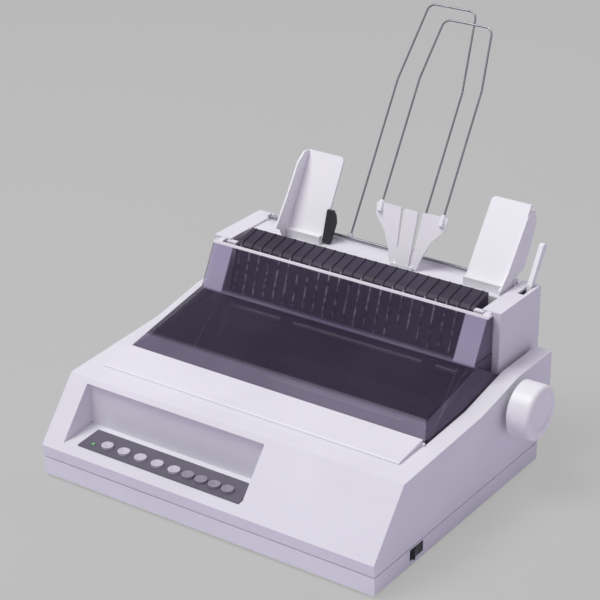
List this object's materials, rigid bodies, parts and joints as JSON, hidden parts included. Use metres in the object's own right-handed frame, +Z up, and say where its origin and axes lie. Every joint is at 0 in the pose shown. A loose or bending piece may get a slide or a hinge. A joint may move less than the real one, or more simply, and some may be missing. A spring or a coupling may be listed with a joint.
{
  "type": "dot matrix printer",
  "caption": "Wide off-white desktop impact printer with a stepped smoked cover, recessed key panel, side platen knob, sheet guides and tall wire paper hoops",
  "frame": {"origin": "middle of the bounding box at the level of the feet", "axes": "+X to the right along the platen, towards the knob; -Y is the front with the key panel; +Z up"},
  "size_m": [0.431, 0.4776, 0.4109],
  "materials": {
    "case_plastic": "fine-textured off-white ABS",
    "white_plastic": "smooth white plastic",
    "smoked_plastic": "smoked transparent plastic",
    "black_plastic": "black moulded plastic",
    "panel_plastic": "dark grey satin plastic",
    "light_key": "light grey key plastic",
    "dark_key": "mid grey key plastic",
    "led": "green translucent lens",
    "platen_rubber": "ground black rubber",
    "foot_rubber": "moulded rubber",
    "bright_steel": "ground steel",
    "dark_wire": "dark coated steel wire",
    "screw_steel": "zinc-plated steel",
    "frame_metal": "zinc-coated sheet steel",
    "motor_metal": "plated steel",
    "head_metal": "black-anodised die-cast aluminium",
    "pinion_brass": "machined brass",
    "gear_plastic": "natural acetal",
    "ink_fabric": "inked woven ribbon",
    "circuit_board": "green solder mask"
  },
  "bodies": {
    "case": {"lower_case": "case_plastic", "upper_case": "case_plastic", "feet": "foot_rubber", "case_screws": "screw_steel", "rear_housing": "case_plastic", "paper_guide": "black_plastic", "control_panel": "panel_plastic", "panel_board": "circuit_board", "power_led": "led", "rocker_body": "black_plastic", "feed_motor": "motor_metal", "chassis": "frame_metal", "side_frame_left": "frame_metal", "side_frame_right": "frame_metal", "carriage_shaft": "bright_steel", "carriage_rail": "frame_metal", "ribbon_cartridge": "black_plastic", "ink_ribbon": "ink_fabric", "carriage_motor": "motor_metal", "drive_belt": "foot_rubber", "main_board": "circuit_board", "transformer": "motor_metal", "interface_connector": "panel_plastic", "mains_inlet": "black_plastic"},
    "cover": {"access_cover": "smoked_plastic"},
    "separator": {"separator_plate": "case_plastic", "guide_rod": "dark_wire", "hoop_bracket": "white_plastic", "front_hoop": "dark_wire", "rear_hoop": "dark_wire"},
    "guide_left": {"left_guide": "white_plastic"},
    "guide_right": {"right_guide": "white_plastic"},
    "lock": {"guide_lock": "black_plastic"},
    "release": {"release_lever": "white_plastic"},
    "platen_unit": {"platen": "platen_rubber", "platen_shaft": "bright_steel", "platen_knob": "white_plastic", "platen_gear": "gear_plastic"},
    "idler": {"idler_gear": "gear_plastic"},
    "pinion": {"feed_pinion": "pinion_brass"},
    "tractor_drive": {"tractor_shaft": "bright_steel"},
    "tractor_l": {"tractor_left": "black_plastic"},
    "tractor_r": {"tractor_right": "black_plastic"},
    "carriage_unit": {"carriage": "black_plastic", "print_head": "head_metal"},
    "pulley_drive": {"drive_pulley": "pinion_brass"},
    "pulley_idle": {"idler_pulley": "pinion_brass"},
    "bail": {"paper_bail": "bright_steel"},
    "roller_left": {"bail_roller_left": "platen_rubber"},
    "roller_right": {"bail_roller_right": "platen_rubber"},
    "rocker": {"power_rocker": "black_plastic"},
    "key_1": {"key_1": "light_key"},
    "key_2": {"key_2": "light_key"},
    "key_3": {"key_3": "light_key"},
    "key_4": {"key_4": "light_key"},
    "key_5": {"key_5": "light_key"},
    "key_6": {"key_6": "dark_key"},
    "key_7": {"key_7": "dark_key"},
    "key_8": {"key_8": "dark_key"},
    "key_9": {"key_9": "dark_key"}
  },
  "joints": [
    {"name": "cover_hinge", "type": "hinge", "parent": "case", "child": "cover", "pos_m": [-0.0165, 0.02023, 0.176], "axis": [-1, 0, 0], "range_deg": [0, 65]},
    {"name": "separator_fold", "type": "hinge", "parent": "case", "child": "separator", "pos_m": [-0.0165, 0.10223, 0.169], "axis": [-1, 0, 0], "range_deg": [0, 45]},
    {"name": "left_guide_slide", "type": "slide", "parent": "separator", "child": "guide_left", "axis": [1, 0, 0], "range_m": [-0.03, 0.045]},
    {"name": "right_guide_slide", "type": "slide", "parent": "separator", "child": "guide_right", "axis": [1, 0, 0], "range_m": [-0.045, 0]},
    {"name": "guide_lock_turn", "type": "hinge", "parent": "guide_left", "child": "lock", "pos_m": [-0.0805, 0.07723, 0.183], "axis": [1, 0, 0], "range_deg": [0, 40]},
    {"name": "release_lever_turn", "type": "hinge", "parent": "case", "child": "release", "pos_m": [0.152, 0.09223, 0.125], "axis": [1, 0, 0], "range_deg": [0, 15]},
    {"name": "platen_spin", "type": "hinge", "parent": "case", "child": "platen_unit", "pos_m": [-0.0165, 0.01623, 0.09], "axis": [1, 0, 0], "continuous": true},
    {"name": "idler_spin", "type": "hinge", "parent": "case", "child": "idler", "pos_m": [-0.162, 0.04735, 0.1118], "axis": [1, 0, 0], "continuous": true},
    {"name": "pinion_spin", "type": "hinge", "parent": "case", "child": "pinion", "pos_m": [-0.1665, 0.01623, 0.06], "axis": [1, 0, 0], "continuous": true},
    {"name": "tractor_spin", "type": "hinge", "parent": "case", "child": "tractor_drive", "pos_m": [-0.0165, 0.07332, 0.12229], "axis": [1, 0, 0], "continuous": true},
    {"name": "tractor_left_slide", "type": "slide", "parent": "case", "child": "tractor_l", "axis": [1, 0, 0], "range_m": [-0.03, 0.04]},
    {"name": "tractor_right_slide", "type": "slide", "parent": "case", "child": "tractor_r", "axis": [1, 0, 0], "range_m": [-0.06, 0.03]},
    {"name": "carriage_slide", "type": "slide", "parent": "case", "child": "carriage_unit", "axis": [1, 0, 0], "range_m": [0, 0.19]},
    {"name": "drive_pulley_spin", "type": "hinge", "parent": "case", "child": "pulley_drive", "pos_m": [-0.1445, -0.05077, 0.0435], "axis": [0, 0, 1], "continuous": true},
    {"name": "idler_pulley_spin", "type": "hinge", "parent": "case", "child": "pulley_idle", "pos_m": [0.1115, -0.05077, 0.0435], "axis": [0, 0, 1], "continuous": true},
    {"name": "bail_swing", "type": "hinge", "parent": "case", "child": "bail", "pos_m": [-0.0165, -0.01477, 0.084], "axis": [1, 0, 0], "range_deg": [0, 35]},
    {"name": "roller_left_spin", "type": "hinge", "parent": "bail", "child": "roller_left", "pos_m": [-0.0845, 0.00798, 0.11147], "axis": [1, 0, 0], "continuous": true},
    {"name": "roller_right_spin", "type": "hinge", "parent": "bail", "child": "roller_right", "pos_m": [0.0895, 0.00798, 0.11147], "axis": [1, 0, 0], "continuous": true},
    {"name": "key_1_press", "type": "slide", "parent": "case", "child": "key_1", "axis": [0, 0.0785, -0.9969], "range_m": [0, 0.0012], "stiffness_N_per_m": 400, "springref_m": -0.0005},
    {"name": "key_2_press", "type": "slide", "parent": "case", "child": "key_2", "axis": [0, 0.0785, -0.9969], "range_m": [0, 0.0012], "stiffness_N_per_m": 400, "springref_m": -0.0005},
    {"name": "key_3_press", "type": "slide", "parent": "case", "child": "key_3", "axis": [0, 0.0785, -0.9969], "range_m": [0, 0.0012], "stiffness_N_per_m": 400, "springref_m": -0.0005},
    {"name": "key_4_press", "type": "slide", "parent": "case", "child": "key_4", "axis": [0, 0.0785, -0.9969], "range_m": [0, 0.0012], "stiffness_N_per_m": 400, "springref_m": -0.0005},
    {"name": "key_5_press", "type": "slide", "parent": "case", "child": "key_5", "axis": [0, 0.0785, -0.9969], "range_m": [0, 0.0012], "stiffness_N_per_m": 400, "springref_m": -0.0005},
    {"name": "key_6_press", "type": "slide", "parent": "case", "child": "key_6", "axis": [0, 0.0785, -0.9969], "range_m": [0, 0.0012], "stiffness_N_per_m": 400, "springref_m": -0.0005},
    {"name": "key_7_press", "type": "slide", "parent": "case", "child": "key_7", "axis": [0, 0.0785, -0.9969], "range_m": [0, 0.0012], "stiffness_N_per_m": 400, "springref_m": -0.0005},
    {"name": "key_8_press", "type": "slide", "parent": "case", "child": "key_8", "axis": [0, 0.0785, -0.9969], "range_m": [0, 0.0012], "stiffness_N_per_m": 400, "springref_m": -0.0005},
    {"name": "key_9_press", "type": "slide", "parent": "case", "child": "key_9", "axis": [0, 0.0785, -0.9969], "range_m": [0, 0.0012], "stiffness_N_per_m": 400, "springref_m": -0.0005},
    {"name": "rocker_tip", "type": "hinge", "parent": "case", "child": "rocker", "pos_m": [0.1795, -0.16327, 0.0142], "axis": [0, 0, 1], "range_deg": [-20, 0]}
  ],
  "couplings": [
    {"joint": "idler_spin", "follows": "platen_spin", "ratio": -1.7143},
    {"joint": "tractor_spin", "follows": "platen_spin", "ratio": 1.7143},
    {"joint": "pinion_spin", "follows": "platen_spin", "ratio": -4},
    {"joint": "drive_pulley_spin", "follows": "carriage_slide", "rad_per_m": -125},
    {"joint": "idler_pulley_spin", "follows": "carriage_slide", "rad_per_m": -125}
  ]
}
